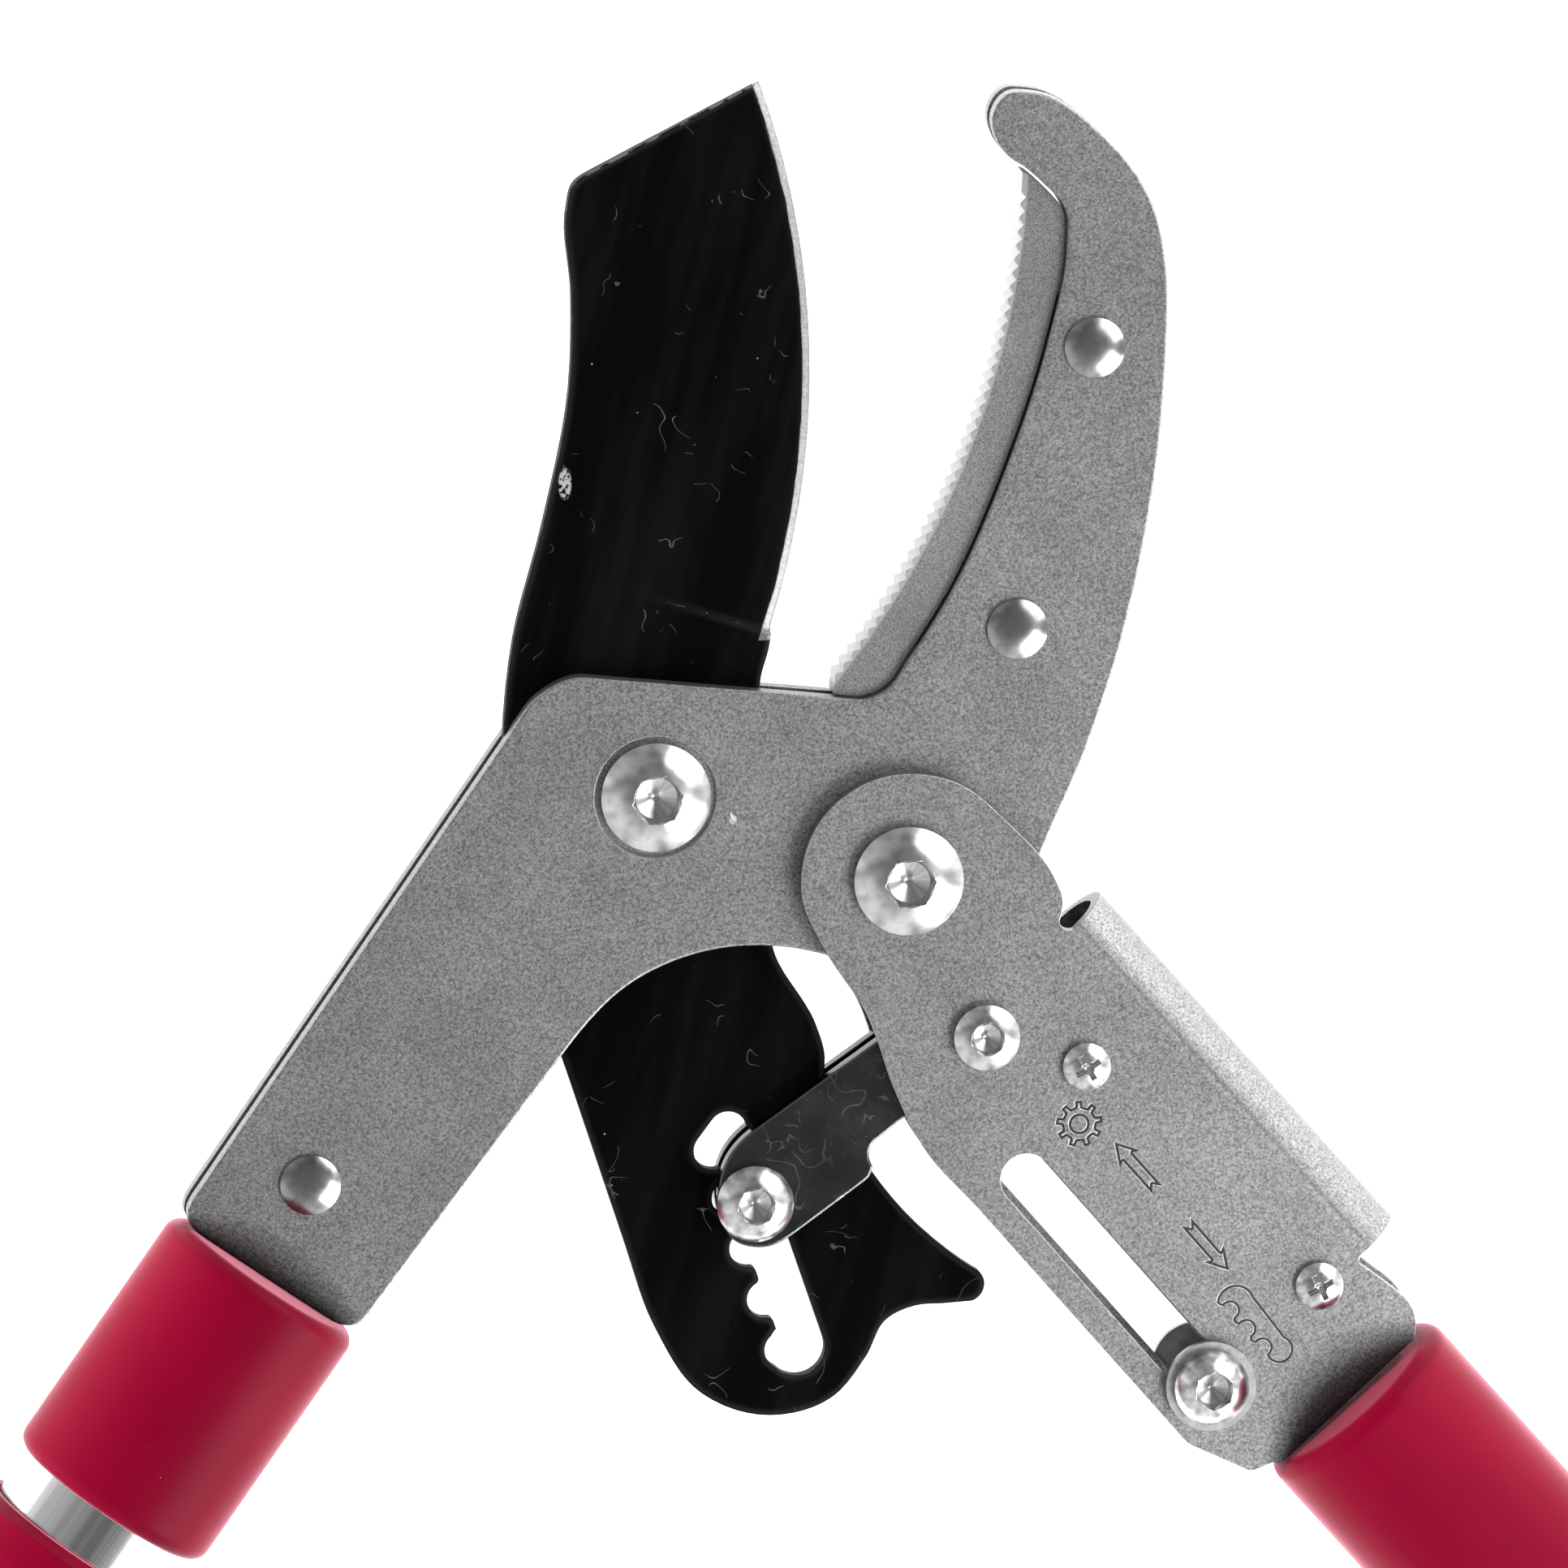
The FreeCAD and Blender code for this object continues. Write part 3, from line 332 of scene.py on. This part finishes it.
def sleeve_mouth(side):
    """Where a handle's sleeve starts along the handle, and its middle and half width across it."""
    axis = AXES[side]
    across = Vector((-axis.y, axis.x, 0.0))
    points = [vertex.co for vertex in frame["nodes"][side + "_sleeve"].data.vertices]
    start = min(point.dot(axis) for point in points)
    sides = [point.dot(across) for point in points]
    return axis, start, across, (min(sides) + max(sides)) / 2, (max(sides) - min(sides)) / 2


def sleeve_shade(side, depth):
    """A layer of painted shade on a plate against its sleeve, standing in for the sleeve's shadow and dark
    reflection; deepest in the middle.
    """
    def layer(look, tone, grain):
        axis, start, across, middle, half = sleeve_mouth(side)
        gap = look.product(look.along(axis, start), -1.0)
        off = look.math("DIVIDE", look.along(across, middle), half)
        bulge = look.math("SUBTRACT", 1.25, look.product(off, off))
        reach = look.product(look.math("MAXIMUM", bulge, 0.2), depth)
        cover = look.spread(look.math("DIVIDE", gap, reach), (0.12, 1.0), (0.93, 0.0))
        # painted shade, darkest next to the sleeve's mouth
        shaded = look.product(cover, look.spread(grain, MOST, (1.0, 0.94)))
        return look.mix(shaded, tone, SLEEVE_SHADE_TONE)
    return layer


# ---------- the other looks ----------

def polished_steel(name, colour):
    """Bright plated fasteners, with soft smears, dark sweeps of painted reflection on tilted faces and light
    scuffs.
    """
    look = Look(name, colour, roughness=0.24, metallic=1.0)
    look.round_edges(0.00016)
    scuff = look.noise(900.0, detail=4.0, rough=0.7)
    smear = look.noise(160.0, detail=3.0, rough=0.6)
    facing = look.surface()
    # dark sweeps of painted reflection, set by the way each tilted face turns
    tilted = look.spread(look.vector("DOT_PRODUCT", facing, UP), (0.985, 0.90))
    turned = look.noise(3.4, detail=1.0, place=look.vector("MULTIPLY", facing, FLAT))
    reflection_sweep = look.product(look.spread(turned, (0.40, 0.64), (0.0, 0.70)), tilted)
    tone = look.mix(reflection_sweep, colour, tinted(colour, 0.22))
    tone = look.mix(look.spread(scuff, (0.54, 0.72), (0.0, 0.4)), tone, tinted(colour, 0.4))
    look.feed("Base Color", tone)
    look.feed("Roughness", look.spread(smear, MOST, (0.16, 0.27)))
    look.bump(smear, strength=0.14, distance=0.00012)
    return look.material


def coated_blade():
    """Black non-stick coating, smeared, linty and rubbed through in places, with painted highlights along its
    edges, and a ground bevel.
    """
    look = Look("black_coating", COATING, roughness=0.42)
    look.set("Specular IOR Level", 0.03)
    look.round_edges(0.0008)
    mottle = look.noise(240.0, detail=4.0, rough=0.6)
    smear = look.noise(1.0, detail=3.0, rough=0.6, place=look.stretched(0.25, (160.0, 18.0, 30.0)))
    tone = look.mix(look.spread(smear, (0.45, 0.75)), COATING, COATING_SMEAR)
    tone = linty(look, tone)
    # painted highlight along the coating's edges
    tone = look.mix(look.product(look.edge_mask(0.0018), 0.8), tone, COATING_EDGE_HIGHLIGHT)
    tone = look.mix(rubbed_through(look, mottle), tone, GROUND_EDGE)
    bare = ground_bevel(look)
    marks = look.noise(2400.0, detail=3.0, rough=0.65)
    steel = look.mix(look.spread(marks, MIDDLE), GROUND_MARK, GROUND_EDGE)
    look.feed("Base Color", look.mix(bare, tone, steel))
    look.feed("Metallic", bare)
    look.feed("Roughness", look.spread(smear, MOST, (0.36, 0.5)))
    look.bump(mottle, strength=0.10, distance=0.00008)
    return look.material


def linty(look, tone):
    """Scattered specks of lint, and curly fibres of two sizes."""
    speck = look.product(look.spread(look.cells(330.0), (0.055, 0.03)),
                         look.spread(look.noise(60.0), (0.58, 0.62)))
    short = look.fibres(size=230.0, thin=0.007, sparse=0.64, seed=1.3)
    long = look.fibres(size=110.0, thin=0.0024, sparse=0.69, seed=4.1)
    for mask, strength in ((speck, 0.6), (short, 0.13), (long, 0.20)):
        tone = look.mix(look.product(mask, strength), tone, LINT)
    return tone


def rubbed_through(look, mottle):
    """Where the coating is worn off: along sharp edges, most at the tip, and at one chip."""
    edges = look.product(look.edge_mask(0.0002), look.spread(mottle, (0.52, 0.62), (0.0, 0.35)))
    chip = look.spot(CHIP, core=0.75, grain_per_m=1500.0)
    at_tip = look.spread(look.along(TO_JAWS, BLADE_PIVOT.y), WORN_TIP)
    tip = look.product(look.edge_mask(0.0006), at_tip, look.spread(mottle, (0.44, 0.5), (0.0, 0.9)))
    return look.math("MAXIMUM", look.math("MAXIMUM", edges, chip), tip)


def ground_bevel(look):
    """1 on the narrow ground bevel along the cutting edge, and 0 elsewhere."""
    radius = look.apart(BLADE_PIVOT + EDGE_CENTRE)
    wavy = look.math("ADD", radius, look.product(look.noise(260.0), BEVEL_WAVE))
    inner = EDGE_RADIUS - BEVEL_WIDTH
    rim = look.spread(wavy, (inner + BEVEL_FADE[0], inner + BEVEL_FADE[1]))
    return look.product(rim, look.spread(look.along(TO_JAWS, BLADE_PIVOT.y), BEVEL_HEEL))


def dark_link():
    """Dark satin steel with straight scratches, curly ones and bright edges of painted highlight."""
    look = Look("dark_link_steel", LINK_STEEL, roughness=0.22, metallic=1.0)
    look.round_edges(0.0003)
    scratch = look.noise(1.0, detail=5.0, rough=0.75, place=look.stretched(0.7, (260.0, 1500.0, 400.0)))
    blotch = look.noise(130.0, detail=4.0, rough=0.65)
    mark = look.product(look.spread(scratch, (0.60, 0.70), (0.0, 0.6)),
                        look.spread(blotch, (0.45, 0.6), (0.1, 1.0)))
    tone = look.mix(mark, LINK_STEEL, LINK_SCRATCH)
    curls = look.math("MAXIMUM", look.fibres(size=150.0, thin=0.010, sparse=0.53, seed=2.1),
                      look.fibres(size=260.0, thin=0.014, sparse=0.55, seed=7.7))
    tone = look.mix(look.product(curls, 0.38), tone, LINK_CURL)
    # painted highlight along the link's edges
    look.feed("Base Color", look.mix(look.edge_mask(0.0003), tone, LINK_EDGE_HIGHLIGHT))
    look.feed("Roughness", look.spread(blotch, MOST, (0.16, 0.32)))
    look.bump(blotch, strength=0.10, distance=0.00010)
    return look.material


def plain_metal(name, colour, roughness):
    """Turned or stamped metal with faint marks."""
    look = Look(name, colour, roughness, metallic=1.0)
    marks = look.noise(700.0, detail=3.0, rough=0.6)
    look.feed("Base Color", look.mix(look.spread(marks, MIDDLE), tinted(colour, 0.7), colour))
    look.bump(marks, strength=0.2, distance=0.00003)
    return look.material


def tube_metal(name, colour, roughness, axis):
    """Drawn tube: very fine streaks, and broader dark bands of painted reflection by the way the surface faces,
    both along its length.
    """
    look = Look(name, colour, roughness, metallic=1.0)
    turn = atan2(axis.x, axis.y)   # lays the streaks' Y along the tube
    streak = look.noise(1.0, detail=3.0, rough=0.6, place=look.stretched(turn, (2600.0, 14.0, 2600.0)))
    # dark bands of painted reflection, set by the way the surface faces round the tube
    round_tube = look.vector("DOT_PRODUCT", look.surface(), (-axis.y, axis.x, 0.0))
    reflection_band = look.noise(4.2, detail=1.0, place=look.vector("SCALE", (1.0, 0.3, 0.6), round_tube))
    tone = look.mix(look.spread(streak, MIDDLE), tinted(colour, 0.86), colour)
    tone = look.mix(look.spread(reflection_band, (0.46, 0.60), (0.0, 0.5)), tone, tinted(colour, 0.3))
    look.feed("Base Color", tone)
    look.feed("Roughness", look.spread(streak, MOST, (roughness * 0.8, roughness * 1.3)))
    look.bump(streak, strength=0.10, distance=0.00002)
    return look.material


def moulded(name, colour, roughness, dust_colour, specular, sheen):
    """Satin moulded plastic or rubber: a very fine etched surface, soft tonal drift and dust."""
    look = Look(name, colour, roughness)
    look.set("Specular IOR Level", specular)
    look.set("Sheen Weight", sheen)
    look.set("Sheen Roughness", 0.28)
    look.set("Sheen Tint", (*dust_colour, 1.0))
    look.round_edges(0.0004)
    etch = look.noise(3200.0, detail=2.0, rough=0.6)
    drift = look.noise(35.0)
    dust = look.product(look.spread(look.cells(420.0), (0.05, 0.02)),
                        look.spread(look.noise(55.0), (0.60, 0.66), (0.0, 0.35)))
    tone = look.mix(look.spread(drift, MIDDLE), tinted(colour, 0.84), colour)
    look.feed("Base Color", look.mix(dust, tone, dust_colour))
    look.feed("Roughness", look.spread(etch, MOST, (roughness * 0.9, roughness * 1.12)))
    look.bump(etch, strength=0.20, distance=0.00004)
    return look.material


# ---------- the carried-over pieces ----------

def slot_looks():
    """A material for each of the record's slots, apart from what node_looks holds."""
    red = {"colour": CRIMSON, "roughness": 0.40, "dust_colour": PINK_DUST, "specular": 0.05, "sheen": 1.0}
    return {
        "anvil_steel": blasted_steel("anvil_steel", ANVIL_STEEL, ANVIL_GRAIN, bright_teeth),
        "polished_steel": polished_steel("polished_steel", POLISHED),
        "black_coating": coated_blade(),
        "dark_link_steel": dark_link(),
        "plain_steel": plain_metal("plain_steel", PLAIN_STEEL, roughness=0.4),
        "bronze_bush": plain_metal("bronze_bush", BRONZE, roughness=0.35),
        "spring_steel": plain_metal("spring_steel", PLAIN_STEEL, roughness=0.3),
        "red_plastic": moulded("red_plastic", **red),
        "cap_plastic": moulded("cap_plastic", **red),
        "core_plastic": moulded("core_plastic", BLACK_PLASTIC, 0.5, GREY_DUST, specular=0.4, sheen=0.1),
        "grip_rubber": moulded("grip_rubber", BLACK_RUBBER, 0.62, GREY_DUST, specular=0.2, sheen=0.05),
    }


def node_looks():
    """Materials of the nodes that have one of their own, whatever their slot."""
    engraved = engraving(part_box("lever_housing")[1][2])
    lever_steel = blasted_steel("lever_steel", STEEL, SHEET_GRAIN, engraved, sleeve_shade("right", LEVER_SHADE_REACH))
    jaw_steel = blasted_steel("jaw_steel", STEEL, SHEET_GRAIN, pale_smudge, sleeve_shade("left", JAW_SHADE_REACH))
    rivet_steel = polished_steel("rivet_steel", RIVET_STEEL)
    own = {
        "lever_housing": lever_steel,
        "jaw_plate_front": jaw_steel,
        "jaw_plate_rear": jaw_steel,
        "jaw_rivets": rivet_steel,
        "arm_rivet": rivet_steel,
        "selector_washers": plain_metal("washer_steel", WASHER_STEEL, roughness=0.42),
    }
    for side, axis in AXES.items():
        own[side + "_inner_tube"] = tube_metal(side + "_bright_tube", TUBE_METAL, 0.16, axis)
        own[side + "_outer_tube"] = tube_metal(side + "_satin_tube", OUTER_TUBE, 0.34, axis)
    return own


def dress(by_slot, by_node):
    """Gives every CAD node its own material, or else its slot's."""
    for part in frame["record"]["subparts"]:
        material = by_node.get(part["node"]) or by_slot[part["material_slot"]]
        for holder in frame["nodes"][part["node"]].material_slots:
            holder.material = material


# ---------- grips ----------

GRIP_RIBS = 44
GRIP_AROUND = 4 * GRIP_RIBS   # three vertices on a rib's back, and one in the groove beside it
GRIP_STEPS = 260
WAIST_DEPTH = 0.0013      # how far the grip draws in between its thicker stretches
SKIN_GAP = 0.00005        # from the plain grip's outer face in to this one's
BORE_GAP = 0.00002        # from the plain grip's bore out to this one's
RIB_DEPTH = 0.00055
GROOVE_DEPTH = 0.0009
END_DEPTH = 0.0010        # the rounding of the two ends
CREASE = radians(50)

# Along the grip, in shares of its length
STOP = (0.045, 0.06)      # the raised stop: middle and reach
SWELL = (0.54, 0.155)     # the palm swell
SWELL_HEIGHT = 0.75
TAIL = (0.86, 0.96)       # the flare towards the end cap
RIBBED = (0.14, 0.84)
RIB_FADE = 0.02
GROOVES = (0.105, 0.12, 0.875, 0.89, 0.905)
GROOVE_REACH = 0.0035
END_REACH = 0.008


def grip_radius(share, angle, full, waist):
    """Radius of the grip's skin at a share of its length and an angle round it."""
    stop = max(0.0, 1.0 - abs(share - STOP[0]) / STOP[1])
    tail = min(1.0, max(0.0, (share - TAIL[0]) / (TAIL[1] - TAIL[0])))
    across_swell = min(1.0, abs(share - SWELL[0]) / SWELL[1])
    swell = SWELL_HEIGHT * max(0.0, cos(across_swell * pi / 2))
    blend = min(1.0, max(stop, tail, swell))
    radius = waist + (full - waist) * (3 * blend ** 2 - 2 * blend ** 3)
    if RIBBED[0] < share < RIBBED[1]:
        fade = min(1.0, (share - RIBBED[0]) / RIB_FADE, (RIBBED[1] - share) / RIB_FADE)
        radius -= RIB_DEPTH * fade * max(0.0, cos(GRIP_RIBS * angle))
    for groove in GROOVES:
        radius -= GROOVE_DEPTH * max(0.0, 1.0 - abs(share - groove) / GROOVE_REACH)
    for end in (share, 1.0 - share):
        radius -= END_DEPTH * max(0.0, 1.0 - end / END_REACH) ** 2
    return radius


def add_grip(side, rubber):
    """The soft ribbed grip in place of the plain one."""
    node = side + "_grip"
    axis = AXES[side]
    anchor = Vector(joints[side + "_collar_twist"]["pos_m"])
    points = [vertex.co - anchor for vertex in frame["nodes"][node].data.vertices]
    ends = [point.dot(axis) for point in points]
    radii = [(point - axis * point.dot(axis)).length for point in points]
    start, end, full, bore = min(ends), max(ends), max(radii), min(radii)
    waist = full - WAIST_DEPTH
    sideways = axis.cross(UP)
    angles = [2 * pi * turn / GRIP_AROUND for turn in range(GRIP_AROUND)]
    outward = [UP * cos(angle) + sideways * sin(angle) for angle in angles]
    mesh = bmesh.new()

    def ring(place, radii_round):
        centre = anchor + axis * place
        return [mesh.verts.new(centre + out * radius) for out, radius in zip(outward, radii_round)]

    rings = []
    for step in range(GRIP_STEPS + 1):
        share = step / GRIP_STEPS
        skin = [grip_radius(share, angle, full - SKIN_GAP, waist) for angle in angles]
        rings.append(ring(start + share * (end - start), skin))
    for place in (end, start):
        rings.append(ring(place, [bore + BORE_GAP] * GRIP_AROUND))
    for first, second in zip(rings, rings[1:] + rings[:1]):
        for turn in range(GRIP_AROUND):
            after = (turn + 1) % GRIP_AROUND
            mesh.faces.new((first[turn], first[after], second[after], second[turn]))
    bmesh.ops.recalc_face_normals(mesh, faces=mesh.faces[:])
    data = bpy.data.meshes.new(side + "_ribbed_grip")
    mesh.to_mesh(data)
    mesh.free()
    for face in data.polygons:
        face.use_smooth = True
    data.set_sharp_from_angle(angle=CREASE)
    piece = bpy.data.objects.new(side + "_ribbed_grip", data)
    bpy.context.scene.collection.objects.link(piece)
    data.materials.append(rubber)
    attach(piece, side + "_handle")
    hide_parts(node)


# ---------- stage ----------

FLOOR_HALF = 6.0
FLOOR_GLOW = 0.8

# Brightness of the sky by the sine of its height, from the horizon to straight up
SKY = ((0.0, 1.0), (0.30, 1.15), (0.62, 0.80), (0.80, 0.40), (0.93, 0.25), (1.0, 0.22))
# and how it dims towards the jaws' side: from and to these Y of a direction, from and to these shares
JAW_SIDE = (0.15, 0.8)
JAW_SIDE_SHARE = (1.0, 0.35)

# Name, place and aim from the blade pivot, size, watts, and whether gloss mirrors it
LAMPS = (
    ("left_box", (-1.3, 0.1, 0.32), ORIGIN, (1.6, 0.5), 48.0, False),
    ("right_box", (1.3, 0.1, 0.32), ORIGIN, (1.6, 0.5), 16.0, False),
    ("side_panel", (0.46, -0.38, 0.32), (0.10, -0.10, 0.0), (0.5, 0.5), 6.2, True),
    ("fold_panel", (0.42, 0.32, 0.26), (0.10, 0.0, 0.0), (0.5, 0.4), 2.6, True),
)


def add_floor():
    """A plain pale floor that glows a little, so that it stays near white."""
    mesh = bpy.data.meshes.new("floor")
    corners = [(x * FLOOR_HALF, y * FLOOR_HALF, 0.0) for x, y in ((-1, -1), (1, -1), (1, 1), (-1, 1))]
    mesh.from_pydata(corners, [], [(0, 1, 2, 3)])
    floor = bpy.data.objects.new("floor", mesh)
    bpy.context.scene.collection.objects.link(floor)
    look = Look("floor", FLOOR_COLOUR, roughness=0.9)
    look.set("Specular IOR Level", 0.0)
    look.set("Emission Color", (1.0, 1.0, 1.0, 1.0))
    look.set("Emission Strength", FLOOR_GLOW)
    look.feed("Base Color", look.mix(look.noise(3.0), FLOOR_DARKER, FLOOR_LIGHTER))
    mesh.materials.append(look.material)


def add_lamp(name, place, aim, size, watts, mirrored):
    light = bpy.data.lights.new(name, "AREA")
    light.shape = "RECTANGLE"
    light.size, light.size_y = size
    light.energy = watts
    lamp = bpy.data.objects.new(name, light)
    lamp.location = BLADE_PIVOT + Vector(place)
    to_aim = BLADE_PIVOT + Vector(aim) - lamp.location
    lamp.rotation_euler = to_aim.to_track_quat("-Z", "Y").to_euler()
    lamp.visible_camera = False
    lamp.visible_glossy = mirrored
    bpy.context.scene.collection.objects.link(lamp)


def add_world():
    """A plain studio: bright round the horizon, dimmer overhead and beyond the jaws."""
    world = bpy.data.worlds.new("studio")
    world.use_nodes = True
    bpy.context.scene.world = world
    nodes, links = world.node_tree.nodes, world.node_tree.links
    place = nodes.new("ShaderNodeTexCoord")
    parts = nodes.new("ShaderNodeSeparateXYZ")
    links.new(place.outputs["Generated"], parts.inputs[0])
    ramp = nodes.new("ShaderNodeValToRGB")
    elements = ramp.color_ramp.elements
    while len(elements) < len(SKY):
        elements.new(0.5)
    for element, (position, level) in zip(elements, SKY):
        element.position = position
        element.color = (level, level, level, 1.0)
    links.new(parts.outputs["Z"], ramp.inputs["Fac"])
    far = nodes.new("ShaderNodeMapRange")
    names = ("From Min", "From Max", "To Min", "To Max")
    for name, number in zip(names, (*JAW_SIDE, *JAW_SIDE_SHARE)):
        far.inputs[name].default_value = number
    links.new(parts.outputs["Y"], far.inputs["Value"])
    dimmed = nodes.new("ShaderNodeVectorMath")
    dimmed.operation = "SCALE"
    links.new(ramp.outputs["Color"], dimmed.inputs[0])
    links.new(far.outputs["Result"], dimmed.inputs["Scale"])
    back = nodes["Background"]
    links.new(dimmed.outputs["Vector"], back.inputs["Color"])
    back.inputs["Strength"].default_value = 1.0


def add_camera():
    """A long lens in VIEW_DIRECTION from the head, with +Y up in the picture."""
    away = VIEW_DIRECTION.normalized()
    target = BLADE_PIVOT + VIEW_CENTRE
    right = (-away).cross(TO_JAWS).normalized()
    up = right.cross(-away)
    camera = bpy.data.cameras.new("camera")
    camera.lens = LENS
    camera.sensor_width = SENSOR_WIDTH
    camera.clip_end = VIEW_END
    camera.dof.use_dof = False
    holder = bpy.data.objects.new("camera", camera)
    turn = Matrix((right, up, away)).transposed().to_4x4()
    holder.matrix_world = Matrix.Translation(target + away * VIEW_DISTANCE) @ turn
    bpy.context.scene.collection.objects.link(holder)
    bpy.context.scene.camera = holder


add_camera()
add_floor()
add_world()
for lamp_facts in LAMPS:
    add_lamp(*lamp_facts)
bpy.context.scene.view_settings.view_transform = "Standard"
made = slot_looks()
dress(made, node_looks())
for side in SIDES:
    add_grip(side, made["grip_rubber"])
